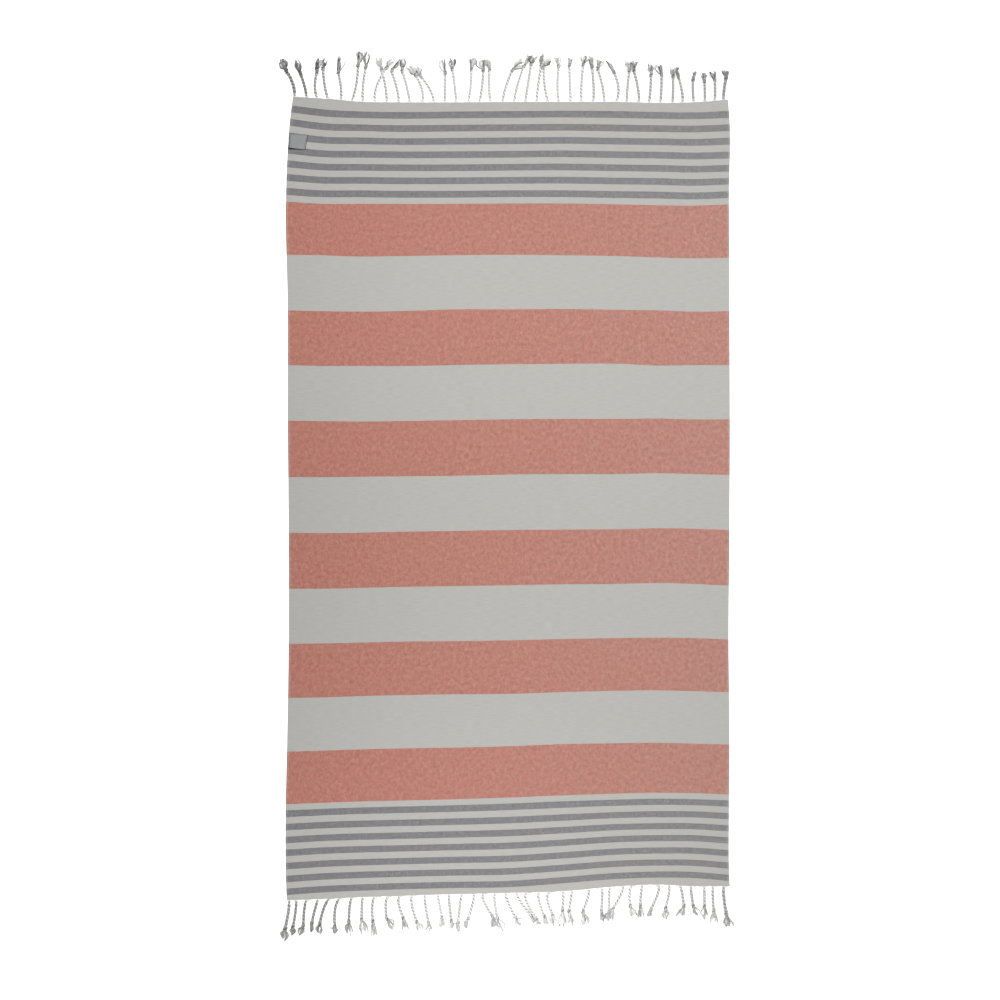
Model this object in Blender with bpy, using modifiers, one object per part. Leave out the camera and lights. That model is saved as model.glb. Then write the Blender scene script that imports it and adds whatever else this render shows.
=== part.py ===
# Flat-woven beach towel laid out face up: one striped cloth, a fringe of twisted and
# knotted tassels at each end, and a small sewn label at its left edge near the top.
# Metres, +Z up, +X across the cloth, +Y along it to the labelled end. The origin is on
# the floor under the cloth's middle.

import math
from collections import namedtuple

import bmesh
import bpy
import numpy as np
from mathutils import Vector

MM = 0.001
EIGHTH_TURN = math.tau / 8

# The cloth as cut, before it is laid down
CLOTH_WIDTH = 1000 * MM
CLOTH_LENGTH = 1800 * MM
CLOTH_THICKNESS = 1.2 * MM
CLOTH_CELL = 20 * MM  # side of the cells that carry its outline and creases
PIECE_GAP = 0.3 * MM  # between pieces that touch

# How it lies. A row is one weft line, given by its place from the top end: how far its left
# and right ends lie to the right of the straight cut, and how far it has slipped towards
# the top at each station across. Millimetres.
WeftLine = namedtuple("WeftLine", "from_top left right slip")
SLIP_STATIONS = (-500, -420, -250, 0, 250, 420, 500)
WEFT_LINES = (
    WeftLine(0, 11, -2, (10, 7, -2, -2, -2, -2, 3)),
    WeftLine(20, 8, 0, (7, 0, -4, -2, -3, -6, -3)),
    WeftLine(212, -5, 0, (-3, -6, -7, -6, -7, -10, -8)),
    WeftLine(470, -1, 1, (-4, -5, -5, -1, -2, -7, -6)),
    WeftLine(715, -1, 2, (-10, -11, -10, -6, -6, -6, -8)),
    WeftLine(960, 1, 1, (-19, -19, -16, -13, -10, -9, -12)),
    WeftLine(1205, 1, -1, (-27, -25, -21, -18, -13, -12, -17)),
    WeftLine(1450, -3, 1, (-27, -24, -19, -14, -7, -8, -13)),
    WeftLine(1588, -6, 0, (-23, -19, -14, -7, 1, 3, 0)),
    WeftLine(1780, -4, 1, (-25, -18, -10, -4, 12, 15, 9)),
    WeftLine(1800, -3, 2, (-16, -12, -4, 3, 16, 17, 17)),
)

# Soft creases, where the cloth stands off the floor: a ridge from one point to another, its
# height, and how far it spreads to each side. Millimetres.
Crease = namedtuple("Crease", "from_x from_y to_x to_y height spread")
CREASES = (
    Crease(-98, 296, -40, 192, 1.6, 40),
    Crease(92, 98, 214, -58, 2.4, 44),
    Crease(-112, 58, -64, -28, 1.2, 40),
)

# The fringe: a narrow heading parted from the cloth's end, and the tassels that leave it
HEADING_DEPTH = 6 * MM
HEADING_THICKNESS = 1.2 * MM
ROOT_WIDTH = 6 * MM  # of one tassel, where its threads leave the heading
CORD_RADIUS = 2.6 * MM
CORD_STEP = 5 * MM  # along the cord for each eighth of a turn of its twist
CORNER_SIZE = 1.2  # the tassel at each corner is this much thicker
KNOT_LENGTH = 10 * MM

# A knot and its tuft, as rings: the place beyond the knot's middle in half knots and then
# in shares of the tuft, the ring's two radii in millimetres, and its turn after the cord's
# last ring in eighths.
Ring = namedtuple("Ring", "half_knots tuft_share wide high eighths")
KNOT_AND_TUFT = (
    Ring(0, 0, 5.3, 4.6, 1),
    Ring(0.9, 0, 3.4, 3.0, 2),
    Ring(0, 0.45, 6.0, 3.4, 2),
    Ring(0, 0.85, 6.6, 2.6, 2),
    Ring(0, 1, 4.0, 1.6, 2),
)

# Where the tassels stand across each end, how far out their knots lie and how long their
# tufts are past the knot, given for some of them by number from the left. Millimetres.
Root = namedtuple("Root", "number across")
Reach = namedtuple("Reach", "number knot tuft")
# How each tassel lies, from the left: its knot's sway to the right of its root, its cord's
# bow to the right of a straight one, and its tuft's lean to the right of its knot.
Tassel = namedtuple("Tassel", "sway bow lean")

TOP_ROOTS = (
    Root(1, -496), Root(10, -256), Root(20, 8), Root(30, 268), Root(36, 421), Root(39, 491),
)
TOP_REACHES = (
    Reach(1, 62, 28), Reach(5, 61, 30), Reach(6, 75, 36), Reach(7, 73, 37), Reach(9, 69, 29),
    Reach(13, 63, 31), Reach(16, 70, 30), Reach(25, 75, 30), Reach(32, 59, 31),
    Reach(36, 47, 22), Reach(39, 46, 20),
)
TOP_TASSELS = (
    Tassel(-17, 5, -12), Tassel(-11, 1, -6), Tassel(-3, -4, 8), Tassel(-12, -3, 4),
    Tassel(-6, 5, 9), Tassel(11, 3, 5), Tassel(7, -5, 2), Tassel(8, 3, 4),
    Tassel(-4, -1, 4), Tassel(-14, 0, 11), Tassel(-17, 0, 5), Tassel(-15, 8, -10),
    Tassel(-27, 3, -11), Tassel(1, 0, -10), Tassel(-8, -1, -2), Tassel(7, 1, 6),
    Tassel(7, 4, -5), Tassel(-3, -3, -6), Tassel(20, -3, 11), Tassel(22, -1, 9),
    Tassel(17, -1, 10), Tassel(8, 1, 6), Tassel(-2, -6, 8), Tassel(0, -2, -5),
    Tassel(-2, 0, 2), Tassel(3, -1, 4), Tassel(-3, 2, -3), Tassel(-12, 2, 2),
    Tassel(-5, 7, -13), Tassel(1, 3, -9), Tassel(-10, 4, 3), Tassel(6, 0, -3),
    Tassel(3, 0, -6), Tassel(0, 1, 0), Tassel(-10, 0, 0), Tassel(0, -1, 4),
    Tassel(0, -2, 0), Tassel(0, 0, -4), Tassel(5, -1, 1),
)
BOTTOM_ROOTS = (
    Root(1, -494), Root(2, -480), Root(9, -298), Root(17, -78), Root(26, 144),
    Root(28, 209), Root(39, 488),
)
BOTTOM_REACHES = (
    Reach(1, 66, 28), Reach(2, 60, 22), Reach(5, 54, 27), Reach(10, 45, 30), Reach(13, 53, 28),
    Reach(18, 44, 27), Reach(22, 48, 26), Reach(26, 41, 33), Reach(30, 44, 28),
    Reach(36, 43, 26), Reach(39, 60, 32),
)
BOTTOM_TASSELS = (
    Tassel(-7, 3, -4), Tassel(-7, 2, -2), Tassel(-8, -4, -8), Tassel(-12, -2, 1),
    Tassel(-19, -7, -1), Tassel(-12, -7, -2), Tassel(-8, -3, 3), Tassel(-4, -2, 7),
    Tassel(-6, -4, 4), Tassel(-5, -5, 16), Tassel(4, -6, 6), Tassel(10, -4, 10),
    Tassel(7, -2, 2), Tassel(8, 1, 1), Tassel(6, 0, 3), Tassel(-8, -2, 2),
    Tassel(-11, 1, -7), Tassel(16, -3, 4), Tassel(7, -4, 7), Tassel(19, -2, 14),
    Tassel(25, 0, 10), Tassel(17, -8, 9), Tassel(10, -4, 6), Tassel(1, -7, 2),
    Tassel(-2, 1, 5), Tassel(-7, -1, 7), Tassel(-8, 4, 9), Tassel(1, 0, -3),
    Tassel(-6, 1, -3), Tassel(-17, 2, -3), Tassel(-7, -6, 9), Tassel(-4, -3, 3),
    Tassel(-10, 4, -5), Tassel(-6, 3, 0), Tassel(8, 2, -10), Tassel(2, 1, 9),
    Tassel(0, 0, -1), Tassel(0, -1, 1), Tassel(2, 0, 7),
)

# The label: a small woven tape sewn down at its top and sides, its lower edge loose
LABEL_PLACE = (-477.5 * MM, 808 * MM)
LABEL_WIDTH = 41 * MM
LABEL_HEIGHT = 33 * MM
LABEL_THICKNESS = 0.8 * MM
LABEL_TURN = math.radians(-4)
LABEL_LIFT = 1.5 * MM  # of its lower edge
LABEL_CELLS = 8

# The materials, with sRGB colours in 0 to 255
Finish = namedtuple("Finish", "name color roughness")
WOVEN_COTTON = Finish("woven_cotton", (188, 187, 183), 0.9)
TWISTED_COTTON = Finish("twisted_cotton", (222, 222, 222), 0.85)
LABEL_TAPE = Finish("label_tape", (150, 152, 150), 0.7)


def station_shares(places, stations):
    """How much each station's value counts at each place, as a matrix: the curve through
    the values is a cubic on every span, whose slopes come from the neighbouring stations."""
    stations = np.asarray(stations, float)
    unit = np.eye(len(stations))
    slopes = np.gradient(unit, stations, axis=0)
    span = np.clip(np.searchsorted(stations, places) - 1, 0, len(stations) - 2)
    width = (stations[span + 1] - stations[span])[:, None]
    t = np.clip((places - stations[span])[:, None] / width, 0, 1)
    ends = (2 * t**3 - 3 * t**2 + 1) * unit[span] + (3 * t**2 - 2 * t**3) * unit[span + 1]
    bends = (t**3 - 2 * t**2 + t) * slopes[span] + (t**3 - t**2) * slopes[span + 1]
    return ends + width * bends


def laid(across, along):
    """Where points of the cut cloth lie on the floor. across and along run from the cut's
    middle to plus and minus half its sides; the result has a row of x and y for each."""
    across, along = np.broadcast_arrays(np.asarray(across, float), np.asarray(along, float))
    by_line = station_shares(
        (CLOTH_LENGTH / 2 - along) / MM, [line.from_top for line in WEFT_LINES]
    )
    by_station = station_shares(across / MM, SLIP_STATIONS)
    slips = np.array([line.slip for line in WEFT_LINES]) * MM
    slip = np.einsum("ij,jk,ik->i", by_line, slips, by_station)
    ends = by_line @ np.array([(line.left, line.right) for line in WEFT_LINES]) * MM
    share = across / CLOTH_WIDTH + 0.5
    x = across + ends[:, 0] * (1 - share) + ends[:, 1] * share
    return np.stack([x, along + slip], axis=1)


def crease_height(x, y):
    """Height of the cloth's underside over the floor: the sum of the ridges, each a raised
    cosine across its line that also fades out past its two ends."""
    height = np.zeros_like(x)
    for crease in CREASES:
        start = np.array([crease.from_x, crease.from_y]) * MM
        run = np.array([crease.to_x, crease.to_y]) * MM - start
        length = np.hypot(*run)
        ahead = ((x - start[0]) * run[0] + (y - start[1]) * run[1]) / length
        aside = ((x - start[0]) * run[1] - (y - start[1]) * run[0]) / length
        past = ahead - np.clip(ahead, 0, length)
        off = np.clip(np.hypot(past, aside) / (crease.spread * MM), 0, 1)
        height += crease.height * MM * (1 + np.cos(math.pi * off)) / 2
    return height


def make_material(finish):
    """A Principled material of the finish's name, colour and roughness."""
    material = bpy.data.materials.new(finish.name)
    material.use_nodes = True
    shader = material.node_tree.nodes["Principled BSDF"]
    linear = [((c / 255 + 0.055) / 1.055) ** 2.4 for c in finish.color]
    shader.inputs["Base Color"].default_value = (*linear, 1)
    shader.inputs["Roughness"].default_value = finish.roughness
    shader.inputs["Metallic"].default_value = 0
    return material


def add_object(name, bm, collection, material):
    mesh = bpy.data.meshes.new(name)
    bm.to_mesh(mesh)
    bm.free()
    mesh.materials.append(material)
    obj = bpy.data.objects.new(name, mesh)
    collection.objects.link(obj)
    return obj


def thicken(obj, thickness):
    """Gives an open sheet its thickness upwards, so that its underside stays where it is."""
    solidify = obj.modifiers.new("Thickness", "SOLIDIFY")
    solidify.thickness = thickness
    solidify.offset = 1


def make_cloth(collection, material):
    """A grid of the cut cloth, moved to where each point lies, with its creases raised."""
    length = CLOTH_LENGTH - 2 * (HEADING_DEPTH + PIECE_GAP)
    bm = bmesh.new()
    bmesh.ops.create_grid(
        bm,
        x_segments=round(CLOTH_WIDTH / CLOTH_CELL),
        y_segments=round(length / CLOTH_CELL),
        size=0.5,
    )
    cut = np.array([vert.co for vert in bm.verts])
    places = laid(cut[:, 0] * CLOTH_WIDTH, cut[:, 1] * length)
    heights = crease_height(places[:, 0], places[:, 1])
    for vert, (x, y), z in zip(bm.verts, places, heights):
        vert.co = (x, y, z)
    cloth = add_object("cloth", bm, collection, material)
    thicken(cloth, CLOTH_THICKNESS)
    return cloth


def tassel_rings(root, outward, knot_reach, tuft_length, tassel, size):
    """The rings of one tassel after its root, each as its middle and direction on the floor,
    its two radii, its turn, and its middle's height. The cord runs from root to knot on a
    parabola with the tassel's bow; past the knot the tuft runs straight in its own direction."""
    sway, bow, lean = tassel.sway * MM, tassel.bow * MM, tassel.lean * MM
    length = math.hypot(sway, knot_reach)
    radius = CORD_RADIUS * size
    steps = 2 * round((length - KNOT_LENGTH / 2) / CORD_STEP / 2)
    for step in range(1, steps + 1):
        way = (1 - KNOT_LENGTH / 2 / length) * step / steps
        middle = root + Vector((sway * way + 4 * bow * way * (1 - way), outward * knot_reach * way))
        ahead = Vector((sway + 4 * bow * (1 - 2 * way), outward * knot_reach)).normalized()
        yield middle, ahead, radius, radius, step, radius
    knot = root + Vector((sway, outward * knot_reach))
    ahead = Vector((lean, outward * math.sqrt(tuft_length**2 - lean**2))).normalized()
    for ring in KNOT_AND_TUFT:
        middle = knot + ahead * (ring.half_knots * KNOT_LENGTH / 2 + ring.tuft_share * tuft_length)
        wide, high = ring.wide * MM * size, ring.high * MM * size
        lowest = high if ring.eighths % 2 else high * math.cos(EIGHTH_TURN)
        yield middle, ahead, wide, high, steps + ring.eighths, lowest


def grow_tassel(bm, face, rings):
    """Extrudes the root face ring by ring. Every ring keeps the face's four corners, turned
    with the twist, and stands on the floor."""
    middle = face.calc_center_median()
    corners = None
    for ring_middle, ahead, wide, high, eighths, height in rings:
        side = Vector((ahead.y, -ahead.x))
        if corners is None:
            offsets = [vert.co - middle for vert in face.verts]
            corners = [
                math.atan2(math.copysign(1, offset.z), math.copysign(1, offset.xy.dot(side)))
                for offset in offsets
            ]
        face = bmesh.ops.extrude_discrete_faces(bm, faces=[face])["faces"][0]
        for vert, corner in zip(face.verts, corners):
            angle = corner + eighths * EIGHTH_TURN
            place = ring_middle + side * (wide * math.cos(angle))
            vert.co = (place.x, place.y, height + high * math.sin(angle))


def make_fringe(name, collection, material, outward, roots, reaches, tassels):
    """The heading as a thin bar along the cloth's end, and a tassel grown from each of the
    bar's outer faces that is a root."""
    numbers = np.arange(1, len(tassels) + 1)
    across = np.interp(numbers, [root.number for root in roots], [root.across for root in roots])
    across = across * MM
    reach = station_shares(numbers, [reach.number for reach in reaches])
    knots = reach @ [reach.knot * MM for reach in reaches]
    tufts = reach @ [reach.tuft * MM for reach in reaches]
    sides = (across - ROOT_WIDTH / 2, across + ROOT_WIDTH / 2)
    stations = np.sort(np.concatenate([*sides, [-CLOTH_WIDTH / 2, CLOTH_WIDTH / 2]]))
    end = outward * CLOTH_LENGTH / 2
    bm = bmesh.new()
    inner = [bm.verts.new((x, y, 0)) for x, y in laid(stations, end - outward * HEADING_DEPTH)]
    outer = [bm.verts.new((x, y, 0)) for x, y in laid(stations, end)]
    base = [
        bm.faces.new((inner[i], inner[i + 1], outer[i + 1], outer[i]))
        for i in range(len(stations) - 1)
    ]
    raised = bmesh.ops.extrude_face_region(bm, geom=base)["geom"]
    upper = [item for item in raised if isinstance(item, bmesh.types.BMVert)]
    bmesh.ops.translate(bm, verts=upper, vec=(0, 0, HEADING_THICKNESS))
    for i, tassel in enumerate(tassels):
        edge = bm.edges.get((outer[2 * i + 1], outer[2 * i + 2]))
        face = next(face for face in edge.link_faces if face not in base)
        root = face.calc_center_median().xy
        size = CORNER_SIZE if i in (0, len(tassels) - 1) else 1
        grow_tassel(bm, face, tassel_rings(root, outward, knots[i], tufts[i], tassel, size))
    bmesh.ops.recalc_face_normals(bm, faces=bm.faces)
    return add_object(name, bm, collection, material)


def make_label(collection, material):
    """A small grid whose lower edge lifts off the cloth between its two sewn sides."""
    bm = bmesh.new()
    bmesh.ops.create_grid(bm, x_segments=LABEL_CELLS, y_segments=LABEL_CELLS, size=0.5)
    for vert in bm.verts:
        across, up = vert.co.x, vert.co.y
        lift = LABEL_LIFT * math.cos(math.pi * across) * (0.5 - up) ** 2
        vert.co = (across * LABEL_WIDTH, up * LABEL_HEIGHT, lift)
    label = add_object("label", bm, collection, material)
    label.location = (*LABEL_PLACE, CLOTH_THICKNESS + PIECE_GAP)
    label.rotation_euler.z = LABEL_TURN
    thicken(label, LABEL_THICKNESS)
    return label


def main():
    for obj in list(bpy.data.objects):
        bpy.data.objects.remove(obj)
    towel = bpy.data.collections.new("beach_towel")
    bpy.context.scene.collection.children.link(towel)

    make_cloth(towel, make_material(WOVEN_COTTON))
    cord = make_material(TWISTED_COTTON)
    make_fringe("fringe_top", towel, cord, 1, TOP_ROOTS, TOP_REACHES, TOP_TASSELS)
    make_fringe("fringe_bottom", towel, cord, -1, BOTTOM_ROOTS, BOTTOM_REACHES, BOTTOM_TASSELS)
    make_label(towel, make_material(LABEL_TAPE))


main()
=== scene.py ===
# Flat-woven beach towel laid out on a studio floor: its cloth, its knotted tassels and its
# small sewn label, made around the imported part. Sizes in the dictionaries are millimetres,
# unless a comment says otherwise.
import math

import bpy
import numpy as np
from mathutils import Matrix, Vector


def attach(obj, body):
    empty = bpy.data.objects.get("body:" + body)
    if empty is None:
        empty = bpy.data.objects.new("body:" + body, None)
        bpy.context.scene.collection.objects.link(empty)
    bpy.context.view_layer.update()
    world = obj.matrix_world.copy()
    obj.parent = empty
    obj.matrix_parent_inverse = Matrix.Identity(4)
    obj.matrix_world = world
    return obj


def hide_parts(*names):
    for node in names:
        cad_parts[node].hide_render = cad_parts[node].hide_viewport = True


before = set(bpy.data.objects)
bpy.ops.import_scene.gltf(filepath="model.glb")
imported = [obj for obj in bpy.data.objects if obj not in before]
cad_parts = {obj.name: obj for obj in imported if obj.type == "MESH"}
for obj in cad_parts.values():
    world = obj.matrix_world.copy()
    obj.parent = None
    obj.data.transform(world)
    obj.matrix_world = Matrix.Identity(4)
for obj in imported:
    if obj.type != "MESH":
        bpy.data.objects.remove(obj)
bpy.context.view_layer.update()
mm = 0.001
upright = np.array([0.0, 0.0, 1.0])
dice = np.random.default_rng(7)  # for everything that is uneven


# small tools

def toLinear(hexColor):
    # "#rrggbb" in sRGB to a linear colour with alpha
    steps = [int(hexColor[i:i + 2], 16) / 255 for i in (1, 3, 5)]
    return [((c + 0.055) / 1.055) ** 2.4 if c > 0.04045 else c / 12.92 for c in steps] + [1]


def addNode(tree, kind, sockets=(), out=0, **settings):
    # adds a node: sockets maps each input to a value or to the output that feeds it
    made = tree.nodes.new("ShaderNode" + kind)
    for name, value in settings.items():
        setattr(made, name, value)
    for socket, value in dict(sockets).items():
        if isinstance(value, bpy.types.NodeSocket):
            tree.links.new(value, made.inputs[socket])
        else:
            made.inputs[socket].default_value = value
    return made.outputs[out] if made.outputs else made


def newMaterial(name):
    # an empty material and its node tree
    made = bpy.data.materials.new(name)
    made.use_nodes = True
    made.node_tree.nodes.clear()
    return made, made.node_tree


def smoothStep(x):
    # 0 below 0, 1 above 1, and 3x^2 - 2x^3 between
    x = np.clip(x, 0, 1)
    return x * x * (3 - 2 * x)


def unit(vectors):
    return vectors / np.linalg.norm(vectors, axis=-1, keepdims=True)


def gridFaces(rows, columns):
    # the four corners of each cell of a grid of points, numbered row by row
    first = np.arange(rows - 1)[:, None] * columns + np.arange(columns - 1)
    return np.stack([first, first + 1, first + columns + 1, first + columns], axis=-1).reshape(-1, 4)


def addPiece(name, points, faces, uvs, materials, uvName, kinds=None, tones=None):
    # one object at the origin: faces and uvs are lists of arrays, one for each number of
    # corners, kinds gives every face its material's number, and tones every point its tone
    mesh = bpy.data.meshes.new(name)
    mesh.from_pydata(points.tolist(), [], [face for block in faces for face in block.tolist()])
    layer = mesh.uv_layers.new(name=uvName)
    layer.data.foreach_set("uv", np.concatenate([uv.ravel() for uv in uvs]).astype(np.float32))
    for material in materials:
        mesh.materials.append(material)
    if kinds is not None:
        mesh.polygons.foreach_set("material_index", kinds)
    if tones is not None:
        mesh.attributes.new("tone", "FLOAT", "POINT").data.foreach_set("value", tones.astype(np.float32))
    mesh.shade_smooth()
    made = bpy.data.objects.new(name, mesh)
    bpy.context.scene.collection.objects.link(made)
    return made


def sweepTubes(paths, radii, upward, sides):
    # Tubes along paths (tube, station, xyz). A ring's points are path + radius * (cos a * side +
    # sin a * up), where up is upward made square to the path, and side is up x tangent.
    tubes, stations = paths.shape[:2]
    tangent = unit(np.gradient(paths, axis=1))
    up = unit(upward - tangent * (upward * tangent).sum(-1, keepdims=True))
    side = np.cross(up, tangent)
    angle = np.arange(sides) / sides * math.tau
    ring = np.cos(angle)[:, None] * side[:, :, None] + np.sin(angle)[:, None] * up[:, :, None]
    points = paths[:, :, None] + radii[:, :, None, None] * ring
    number = np.arange(points[..., 0].size).reshape(tubes, stations, sides)
    after = np.roll(number, -1, axis=2)
    quads = np.stack([number[:, :-1], after[:, :-1], after[:, 1:], number[:, 1:]], axis=-1)
    caps = np.concatenate([number[:, 0, ::-1], number[:, -1]])
    # the UV map holds the tube's number plus the turns round it, and millimetres along it
    run = np.linalg.norm(np.diff(paths, axis=1), axis=-1) / mm
    run = np.concatenate([np.zeros((tubes, 1)), np.cumsum(run, axis=1)], axis=1)[:, :, None]
    turn = np.arange(tubes)[:, None, None] + np.arange(sides + 1) / sides
    u0, u1, v0, v1 = np.broadcast_arrays(turn[..., :-1], turn[..., 1:], run[:, :-1], run[:, 1:])
    quadUvs = np.stack([np.stack([u0, v0], -1), np.stack([u1, v0], -1),
                        np.stack([u1, v1], -1), np.stack([u0, v1], -1)], axis=-2)
    capUvs = np.zeros((*caps.shape, 2))
    return points.reshape(-1, 3), [quads.reshape(-1, 4), caps], [quadUvs, capUvs]


# camera and light: straight above, the towel's length upright

studio = {
    "pixel": 2.27, "pixels": 1000,  # a pixel's size on the floor, and how many to the picture
    "centre": (-19.6, -5.4),  # of the picture, on the floor
    "lens": 85, "sensor": 36,
    # lamps: place and aim in metres, width and length in metres, watts
    "key": ((1.8, 0.66, 1.88), (-0.23, 0.9, 0), (0.9, 0.9), 39.4),
    "head": ((-0.3, 0.7, 1.35), (-0.3, 0.7, 0), (0.5, 0.89), 11.7),
    "foot": ((-0.37, -1.29, 1.41), (1.2, -1.27, 0), (0.9, 0.9), 24.7),
    "skyStrength": 0.14, "skyColor": "#f6f8ff",
    # the floor's width in metres, its two tints, clouds to a metre, and how bright it is lit
    "floorSize": 60, "floorColor": "#f0f0ef", "floorTint": "#fafaf9", "floorClouds": 2.5,
    "floorGlow": 0.68,
}


def setCamera():
    data = bpy.data.cameras.new("camera")
    data.lens, data.sensor_width = studio["lens"], studio["sensor"]
    made = bpy.data.objects.new("camera", data)
    width = studio["pixels"] * studio["pixel"] * mm
    x, y = studio["centre"]
    made.location = (x * mm, y * mm, width * studio["lens"] / studio["sensor"])
    bpy.context.scene.collection.objects.link(made)
    bpy.context.scene.camera = made


def addLamp(name, place, aim, size, power):
    # a rectangular soft box that faces its aim
    data = bpy.data.lights.new(name, "AREA")
    data.shape = "RECTANGLE"
    data.size, data.size_y = size
    data.energy = power
    made = bpy.data.objects.new(name, data)
    made.location = place
    made.rotation_euler = (Vector(aim) - Vector(place)).to_track_quat("-Z", "Y").to_euler()
    bpy.context.scene.collection.objects.link(made)


def makeFloor():
    # milky acrylic, lit from below as a light table, so that soft shadows drown in white
    acrylic, tree = newMaterial("litAcrylic")
    place = addNode(tree, "TexCoord", out=3)
    cloud = addNode(tree, "TexNoise", {"Vector": place, "Scale": studio["floorClouds"], "Detail": 2})
    tint = addNode(tree, "Mix", {0: cloud, 6: toLinear(studio["floorColor"]),
                                 7: toLinear(studio["floorTint"])}, out=2, data_type="RGBA")
    board = addNode(tree, "BsdfPrincipled", {"Base Color": tint, "Roughness": 0.8,
                                             "Emission Color": tint,
                                             "Emission Strength": studio["floorGlow"]})
    addNode(tree, "OutputMaterial", {"Surface": board})
    half = studio["floorSize"] / 2
    corners = np.array([[-half, -half, 0], [half, -half, 0], [half, half, 0], [-half, half, 0]])
    floor = addPiece("floor", corners, [np.array([[0, 1, 2, 3]])], [corners[:, :2]], [acrylic], "floor")


def makeStudio():
    setCamera()
    addLamp("keyLight", *studio["key"])
    addLamp("headLight", *studio["head"])
    addLamp("footLight", *studio["foot"])
    world = bpy.data.worlds.new("studioRoom")
    world.use_nodes = True
    sky = world.node_tree.nodes["Background"]
    sky.inputs["Color"].default_value = toLinear(studio["skyColor"])
    sky.inputs["Strength"].default_value = studio["skyStrength"]
    bpy.context.scene.world = world
    bpy.context.scene.view_settings.view_transform = "Standard"
    makeFloor()


# how the cloth lies: each weft line by its place from the top end, how far its left and right
# ends lie to the right of the straight cut, and its slip to the top at each station across,
# which also tells how wide each stripe came out

cloth = {
    "width": 1000, "length": 1800, "thickness": 1.2, "cell": 7.2, "rim": 0.9,
    "lineFromTop": (0, 20, 212, 470, 715, 960, 1205, 1450, 1588, 1780, 1800),
    "lineLeft": (11, 8, -5, -1, -1, 1, 1, -3, -6, -4, -3),
    "lineRight": (-2, 0, 0, 1, 2, 1, -1, 1, 0, 1, 2),
    "slipStations": (-500, -420, -335, -250, -125, 0, 125, 250, 335, 420, 500),
    "slipFromTop": (0, 20, 64, 123, 212, 225, 350, 470, 595, 715, 840, 960, 1085, 1205, 1330, 1450,
                    1575, 1588, 1676, 1780, 1800),
    "slip": (
        (10, 5, -2, -3, -3, -2, -2, -2, -4, -3, 3),
        (10, 0, -4, -5, -4, -3, -2, -3, -5, -6, -3),
        (8, -2, -4, -6, -5, -4, -3, -5, -6, -7, -4),
        (4, -4, -5, -6, -6, -5, -4, -6, -7, -9, -7),
        (-1, -6, -6, -7, -7, -6, -6, -8, -9, -11, -8),
        (-4, -9, -9, -9, -9, -8, -8, -10, -12, -13, -10),
        (1, 0, -3, -2, 0, 1, 0, -2, -5, -7, -6),
        (-5, -7, -8, -7, -3, -3, -2, -4, -5, -8, -7),
        (-5, -7, -7, -7, -5, -3, -2, -2, -6, -5, -5),
        (-11, -12, -13, -12, -10, -8, -7, -7, -6, -8, -8),
        (-14, -14, -13, -12, -11, -8, -7, -7, -5, -7, -9),
        (-20, -21, -20, -18, -16, -14, -13, -12, -10, -11, -14),
        (-22, -22, -20, -18, -16, -14, -12, -11, -9, -11, -15),
        (-27, -26, -24, -22, -21, -19, -16, -14, -13, -14, -17),
        (-25, -24, -21, -19, -17, -16, -12, -9, -8, -10, -12),
        (-27, -25, -22, -20, -18, -15, -10, -8, -7, -9, -11),
        (-21, -18, -15, -13, -10, -6, -1, 3, 5, 4, 1),
        (-23, -19, -16, -14, -11, -7, -2, 2, 4, 3, 0),
        (-23, -18, -15, -13, -10, -7, 0, 8, 10, 10, 5),
        (-23, -17, -13, -10, -7, -5, 4, 14, 17, 16, 9),
        (-14, -11, -7, -4, 0, 3, 7, 18, 22, 18, 18),
    ),
    # soft creases: from x, from y, to x, to y, height, spread to each side
    "creases": ((-98, 296, -40, 192, 1.6, 40), (92, 98, 214, -58, 2.4, 44),
                (-112, 58, -64, -28, 1.2, 40)),
    # faint waves: wavelength, direction in degrees, height; each starts 1.7 radians further on
    "waves": ((310, 62, 0.22), (190, 118, 0.12), (127, 35, 0.08), (83, 150, 0.04)),
    "wavePhase": 1.7,
}


def stationShares(places, stations):
    # how much each station's value counts at each place: cubic on every span, with slopes
    # from the neighbouring stations
    stations = np.asarray(stations, float)
    slopes = np.gradient(np.eye(len(stations)), stations, axis=0)
    span = np.clip(np.searchsorted(stations, places) - 1, 0, len(stations) - 2)
    width = (stations[span + 1] - stations[span])[:, None]
    t = np.clip((places - stations[span])[:, None] / width, 0, 1)
    values = np.eye(len(stations))
    ends = (2 * t**3 - 3 * t**2 + 1) * values[span] + (3 * t**2 - 2 * t**3) * values[span + 1]
    return ends + width * ((t**3 - 2 * t**2 + t) * slopes[span] + (t**3 - t**2) * slopes[span + 1])


def linearShares(places, stations):
    # the same with straight spans
    places = np.clip(places, stations[0], stations[-1])
    span = np.clip(np.searchsorted(stations, places) - 1, 0, len(stations) - 2)
    t = (places - np.take(stations, span)) / np.take(np.diff(stations), span)
    values = np.eye(len(stations))
    return (1 - t)[:, None] * values[span] + t[:, None] * values[span + 1]


def layDown(across, fromTop):
    # x, y on the floor, in mm, of points of the straight cut: x is moved by the line's two
    # ends, mixed by the share of the width, and y by its slip
    byLine = stationShares(fromTop, cloth["lineFromTop"])
    bySlip = linearShares(fromTop, cloth["slipFromTop"])
    byStation = stationShares(across, cloth["slipStations"])
    slip = np.einsum("ij,jk,ik->i", bySlip, np.array(cloth["slip"], float), byStation)
    share = across / cloth["width"] + 0.5
    left, right = byLine @ np.array(cloth["lineLeft"]), byLine @ np.array(cloth["lineRight"])
    x = across + left * (1 - share) + right * share
    return np.stack([x, cloth["length"] / 2 - fromTop + slip], axis=-1)


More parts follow.
